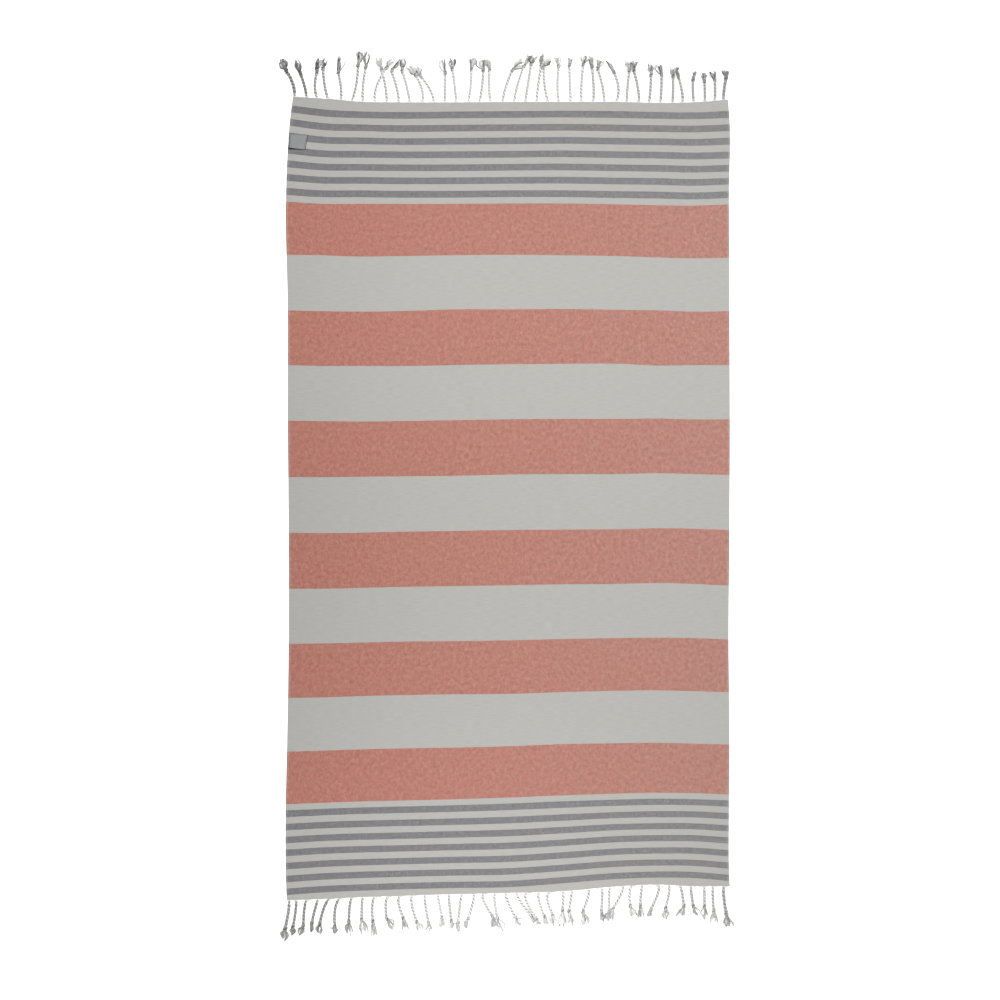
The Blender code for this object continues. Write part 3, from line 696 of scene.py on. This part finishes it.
def cordPaths(plan):
    # In the knot the cord is pulled thinner and its centre turns round its axis: axis +
    # R * (cos w * side + sin w * up), leaning by tilt * cos w along it. Its two plies turn round
    # the centre in the same way.
    count = len(plan["reach"])
    size = plan["size"][:, None]
    length = np.hypot(plan["sway"], plan["reach"])[:, None]
    half, edge = tassel["knotHalf"] * size, tassel["knotEdge"]
    knotStart, knotEnd = length - half - edge, length + half + edge
    share = np.linspace(0, 1, tassel["cordStations"])
    cordPart = 1 - tassel["knotShare"]
    along = np.where(
        share < cordPart,
        knotStart * share / cordPart,
        knotStart + (knotEnd - knotStart) * (share - cordPart) / tassel["knotShare"],
    )
    flat = cordLine(plan, along)
    ahead = unit(np.gradient(flat, axis=1))
    grow = smoothStep(along / tassel["rootGrow"])
    wrap = smoothStep((along - knotStart) / (2 * edge)) * smoothStep((knotEnd - along) / (2 * edge))
    tight = size * (1 - tassel["knotTight"] * wrap)
    radius = tassel["cordRadius"] * tight * wrap
    rest = tassel["rootRadius"] + (tassel["cordRadius"] * tight - tassel["rootRadius"]) * grow
    axis = np.dstack([flat, rest + radius])
    ahead = np.dstack([ahead, np.zeros((count, len(share)))])
    side = np.cross(ahead, upright)

    turn = np.clip((along - length + half) / (2 * half), 0, 1) * tassel["knotTurns"] * math.tau
    turn = turn + dice.uniform(0, math.tau, (count, 1))
    cosine, sine = np.cos(turn)[..., None], np.sin(turn)[..., None]
    centre = axis + radius[..., None] * (cosine * side + sine * upright
                                         + tassel["knotTilt"] * cosine * ahead)

    run = np.linalg.norm(np.diff(centre, axis=1), axis=-1)
    run = np.concatenate([np.zeros((count, 1)), np.cumsum(run, axis=1)], axis=1)
    pitch = tassel["plyTurn"] * size * dice.uniform(*tassel["turnSpread"], (count, 1))
    twist = np.cumsum(np.diff(run, axis=1, prepend=0) / pitch * grow, axis=1) * math.tau
    tangent = unit(np.gradient(centre, axis=1))
    first = cosine * side + sine * upright
    first = unit(first - tangent * (first * tangent).sum(-1, keepdims=True))
    second = np.cross(tangent, first)
    # at the root the two plies leave the cloth side by side
    opening = twist - turn[:, :1]
    apart = tassel["plyRadius"] * tassel["plyApart"] * tight
    spread = tassel["rootSpread"] + (apart - tassel["rootSpread"]) * grow
    plyRadius = tassel["rootRadius"] + (tassel["plyRadius"] * tight - tassel["rootRadius"]) * grow
    plies, outwards = [], []
    for turned in (opening, opening + math.pi):
        out = np.cos(turned)[..., None] * first - np.sin(turned)[..., None] * second
        ply = centre + spread[..., None] * out
        ply[..., 2] = np.maximum(ply[..., 2], plyRadius)
        plies.append(ply)
        # at the root a ply's open side turns to the top, so the painted crevice shade leaves it light
        outwards.append(out * grow[..., None] + upright * (1 - grow[..., None]))
    # painted shade: the yarn in the knot is darker, as shade falls among its packed wraps
    tones = plan["tone"][:, None] * (1 - plan["shade"] * (1 - tassel["knotShadeTone"]) * wrap)
    paths, upward = np.concatenate(plies), np.concatenate(outwards)
    return paths, np.tile(plyRadius, (2, 1)), upward, np.tile(tones, (2, 1))


def fanPaths(plan):
    # warp ends from the cloth's edge, drawn together as (1 - t)^fanPower until they enter the cord
    count, threads = len(plan["reach"]), tassel["fanThreads"]
    atEdge, inCord = tassel["fanStray"]
    left, right = plan["taken"].T
    share = (np.arange(threads) + 0.5) / threads
    across = left[:, None] + (right - left)[:, None] * share
    across = across + dice.uniform(-atEdge, atEdge, (count, threads))
    fromTop = np.full(across.size, float(plan["endFromTop"]))
    edge = layDown(across.ravel(), fromTop).reshape(count, threads, 2)
    t = np.linspace(0, 1, tassel["fanStations"])
    axis = cordLine(plan, np.broadcast_to(tassel["fanReach"] * t, (count, len(t))))
    drawn = (1 - t) ** tassel["fanPower"]
    apart = edge - plan["root"][:, None]
    within = dice.uniform(-inCord, inCord, (count, threads, 1)) * [1, 0]
    flat = axis[:, None] + apart[:, :, None] * drawn[:, None] + within[:, :, None] * t[:, None]
    low = undersideHeight(edge[..., 0], edge[..., 1]) + cloth["thickness"] / 2
    height = low[..., None] * (1 - t) + dice.uniform(*tassel["fanHeights"], (count, threads, 1)) * t
    paths = np.concatenate([flat, height[..., None]], axis=-1).reshape(count * threads, len(t), 3)
    return paths, np.full(paths.shape[:2], tassel["fanRadius"]), np.ones(paths.shape[:2])


def tuftPaths(plan):
    # Each loose thread leaves the knot's end, spreads as t^spreadPower * (1 - closing t^2) until it
    # is tip to the side, waves, and sinks by (1 - t)^2 from the knot's height to its own layer of
    # the pile
    count, threads, locks = len(plan["reach"]), tassel["threads"], tassel["locks"]
    perLock, perThread = (count, locks), (count, threads)
    size = plan["size"][:, None]
    lock = np.arange(threads) % locks
    lockTip, threadTip = tassel["tipStray"]
    lockShift = (lock / (locks - 1) - 0.5) * np.maximum(plan["fork"][:, None] - 1, tassel["leastFork"])
    lockJitter = dice.normal(0, lockTip, perLock)[:, lock]
    lockLength = dice.uniform(*tassel["lockLengths"], perLock)[:, lock]
    tip = (lockShift + lockJitter + dice.normal(0, threadTip, perThread)) * size
    reach = plan["tuft"][:, None] * lockLength * dice.uniform(*tassel["threadLengths"], perThread)
    start = np.broadcast_to(tassel["knotHalf"] * 0.5 * size, perThread)
    lockSide, threadSide = tassel["knotStray"]
    fromSide = dice.uniform(-lockSide, lockSide, perLock)[:, lock]
    fromSide = (fromSide + dice.uniform(-threadSide, threadSide, perThread)) * size
    stray = tassel["knotHeightStray"]
    fromHeight = tassel["cordRadius"] * tassel["knotHeight"] + dice.uniform(-stray, stray, perThread)
    fromHeight = fromHeight * size
    stray = tassel["layerStray"]
    layer = dice.uniform(*tassel["layers"], perLock)[:, lock]
    layer = (layer + dice.uniform(-stray, stray, perThread)) * size
    lockCurl, threadCurl = tassel["curl"]
    curl = dice.normal(0, lockCurl, perLock)[:, lock] + dice.normal(0, threadCurl, perThread)
    # the threads of a stray lock end where it does
    strayThreads = np.array(tassel["strayThreads"])
    for number, rightward, away in plan["strays"]:
        those = number - 1, slice(len(strayThreads))
        tip[those] = plan["outward"] * rightward + strayThreads
        reach[those] = away
        layer[those] = tassel["strayLayer"]
    waving = dice.uniform(*tassel["waveSizes"], perLock)[:, lock]
    phase = dice.uniform(0, math.tau, perLock)[:, lock] + dice.normal(0, tassel["phaseStray"], perThread)

    t = np.linspace(0, 1, tassel["threadStations"])
    gone = (1 - t) ** 2
    forward = start[..., None] + (reach - start)[..., None] * t
    spread = t ** tassel["spreadPower"] * (1 - plan["closing"][:, None] * t**2)
    spread = spread / spread.max(axis=1, keepdims=True)
    wave = np.sin(tassel["waves"] * math.tau * t + phase[..., None])
    aside = (fromSide[..., None] * (1 - t) + tip[..., None] * spread[:, None]
             + curl[..., None] * np.sin(math.pi * t) + waving[..., None] * t * wave)
    height = fromHeight[..., None] * gone + layer[..., None] * (1 - gone)
    height = np.maximum(height, tassel["threadRadius"])
    ahead = plan["tuftWay"][:, None, None]
    side = np.stack([ahead[..., 1], -ahead[..., 0]], axis=-1)
    flat = plan["knot"][:, None, None] + forward[..., None] * ahead + aside[..., None] * side
    paths = np.concatenate([flat, height[..., None]], axis=-1).reshape(count * threads, len(t), 3)
    radii = tassel["threadRadius"] * (1 - tassel["threadTaper"] * t**2)
    # painted shade: threads low in the pile, under the others, are darker, and all are darker near the
    # knot; some threads and locks are painted darker at random as shade between threads
    lowPileShade = 1 - np.clip((layer / size - tassel["clearFrom"]) / tassel["clearOver"], 0, 1)
    own = np.where(dice.random(perThread) < tassel["shadedThreads"], tassel["shadedThreadTone"], 1)
    own = own * np.where(dice.random(perLock) < tassel["shadedLocks"], tassel["shadedLockTone"], 1)[:, lock]
    own = own * (1 - (1 - tassel["lowThreadShadeTone"]) * lowPileShade)
    own = own[..., None] * (1 - (1 - tassel["knotShadeTone"]) * (1 - smoothStep(t / tassel["knotDim"])))
    tones = plan["tone"][:, None, None] * np.maximum(1 - plan["shade"] * (1 - own), tassel["deepest"])
    tones = tones.reshape(count * threads, len(t))
    return paths, np.broadcast_to(radii, paths.shape[:2]), tones


def makeFringe(name, node, fringe, outward, materials):
    plan = tasselPlan(fringe, outward)
    cords, cordRadii, cordUp, cordTones = cordPaths(plan)
    # cords, then the loose threads of the tufts and of the fans
    parts = [(cords, cordRadii, cordTones, cordUp, tassel["plySides"], 0)]
    for paths, radii, tones in (tuftPaths(plan), fanPaths(plan)):
        parts.append((paths, radii, tones, upright, tassel["threadSides"], 1))
    points, faces, uvs, kinds, allTones, used = [], [], [], [], [], 0
    for paths, radii, tones, upward, sides, kind in parts:
        somePoints, someFaces, someUvs = sweepTubes(paths * mm, radii * mm, upward, sides)
        faces += [block + used for block in someFaces]
        used += len(somePoints)
        points.append(somePoints)
        uvs += someUvs
        kinds.append(np.full(sum(len(block) for block in someFaces), kind, np.int32))
        allTones.append(np.repeat(tones.ravel(), sides))
    made = addPiece(name, np.concatenate(points), faces, uvs, materials, "yarn",
                    np.concatenate(kinds), np.concatenate(allTones))
    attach(made, "root")
    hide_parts(node)
    print(name + ":", len(plan["reach"]), "tassels,", len(made.data.polygons), "faces")
    return made


# label: a bare woven tape over a near-black sheet, a painted shadow, which shows at its right, its
# lower and its lower left edge

label = {
    # corners on the floor: top left, top right, bottom right, bottom left
    "corners": ((-496.0, 826.3), (-456.5, 824.0), (-462.0, 789.8), (-498.3, 793.8)),
    # corners of the near-black sheet, a painted shadow that shows past the right, the lower and the lower
    # left edge
    "shadowSheetCorners": ((-495.0, 825.5), (-455.4, 823.4), (-461.0, 788.8), (-500.4, 790.5)),
    "size": (41, 33), "columns": 28, "rows": 24,  # of the tape before it is sewn on, and its grid
    "height": 1.6, "thickness": 0.5, "shadowSheetThickness": 0.3, "gap": 0.05,
    # how far the loose lower edge stands up, the share of that lost towards the right, and about
    # what share of the width keeps it all
    "lift": 2.2, "liftLoss": 0.75, "liftKeep": 0.1,
    # its ripple: the height, radians across and down, and how much of it the sewn edge has
    "ripple": 0.18, "rippleTurns": (9, 4), "rippleLeast": 0.3,
    # a stitch's length, the way from one to the next, its place in from the edges, the share of
    # the sides that is sewn, its bow over the tape and how deep it sits, and its thinner ends
    "stitch": 2.3, "stitchStep": 3.4, "stitchInset": 2.2, "stitchEnd": 0.92,
    "stitchBow": 0.2, "stitchSink": 0.05, "stitchRadius": 0.38, "stitchTaper": 0.5,
    "stitchStations": 5, "stitchSides": 6,
}


def labelPoint(across, down, outline):
    # x, y, z in mm for shares 0 to 1 across and down the tape: the corners are mixed, and the
    # loose lower edge lifts by down^3, most at its left
    corners = np.array(label[outline])
    across, down = np.asarray(across, float)[..., None], np.asarray(down, float)[..., None]
    flat = (corners[0] * (1 - across) * (1 - down) + corners[1] * across * (1 - down)
            + corners[2] * across * down + corners[3] * (1 - across) * down)
    keep, least = label["liftKeep"], label["rippleLeast"]
    lost = label["liftLoss"] * smoothStep(across * (1 + keep) - keep)
    turns = across * label["rippleTurns"][0] + down * label["rippleTurns"][1]
    ripple = label["ripple"] * np.sin(turns) * (least + (1 - least) * down)
    height = label["height"] + label["lift"] * down**3 * (1 - lost) + ripple
    return np.concatenate([flat, height], axis=-1)


def makeLayer(name, outline, drop, thickness, material):
    # one layer: the tape, or the near-black sheet under it that is a painted shadow, drop mm under the
    # face
    across, down = np.meshgrid(np.linspace(0, 1, label["columns"]), np.linspace(1, 0, label["rows"]))
    across, down = across.ravel(), down.ravel()
    cells = gridFaces(label["rows"], label["columns"])
    uv = np.column_stack([across, down]) * label["size"]
    points = labelPoint(across, down, outline) - [0, 0, drop]
    made = addPiece(name, points * mm, [cells], [uv[cells]], [material], "tape")
    thicken(made, thickness)
    return made


def makeStitches(material):
    # running stitches down both sides and along the top, each a short bowed thread: its bow and
    # its ends go by 1 - s^4, s from -1 to 1
    width, length = label["size"]
    insetX, insetY = label["stitchInset"] / width, label["stitchInset"] / length
    stepX, stepY = label["stitchStep"] / width, label["stitchStep"] / length
    halfX, halfY = label["stitch"] / 2 / width, label["stitch"] / 2 / length
    alongTop = np.arange(insetX + halfX, 1 - insetX, stepX)[:, None]
    alongSide = np.arange(insetY + stepY, label["stitchEnd"], stepY)[:, None]
    s = np.linspace(-1, 1, label["stitchStations"])
    runs = np.concatenate([labelPoint(alongTop + s * halfX, insetY, "corners"),
                           labelPoint(1 - insetX, alongSide + s * halfY, "corners"),
                           labelPoint(insetX, alongSide + s * halfY, "corners")])
    runs[..., 2] += label["thickness"] + label["stitchBow"] * (1 - s**4) - label["stitchSink"]
    radii = np.broadcast_to(label["stitchRadius"] * (1 - label["stitchTaper"] * s**4), runs.shape[:2])
    points, faces, uvs = sweepTubes(runs * mm, radii * mm, upright, label["stitchSides"])
    print("label:", len(runs), "stitches")
    return addPiece("labelStitches", points, faces, uvs, [material], "tape")


def makeLabel():
    face = makeLayer("wovenLabel", "corners", 0, label["thickness"],
                     makeTape("wovenTapeFace", *tape["face"]))
    # painted shadow: a near-black sheet under the tape, showing past its right and lower edges
    shadowSheetLayer = makeLayer("labelShadowSheet", "shadowSheetCorners", label["shadowSheetThickness"] + label["gap"],
                     label["shadowSheetThickness"], makeTape("shadowSheetTape", *tape["shadowSheet"]))
    stitches = makeStitches(makeTape("sewingThread", *tape["sewing"]))
    for piece in (face, shadowSheetLayer, stitches):
        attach(piece, "root")
    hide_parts("label")
    return [face, shadowSheetLayer, stitches]


makeStudio()
print("studio: camera, lights and floor")
wovenCloth = makeCloth()
yarns = [makeYarn("twoPlyCottonCord", *yarn["ply"]), makeYarn("looseCottonThread", *yarn["loose"])]
fringeTop = makeFringe("tasselsTop", "fringe_top", topFringe, 1, yarns)
fringeBottom = makeFringe("tasselsBottom", "fringe_bottom", bottomFringe, -1, yarns)
labelPieces = makeLabel()
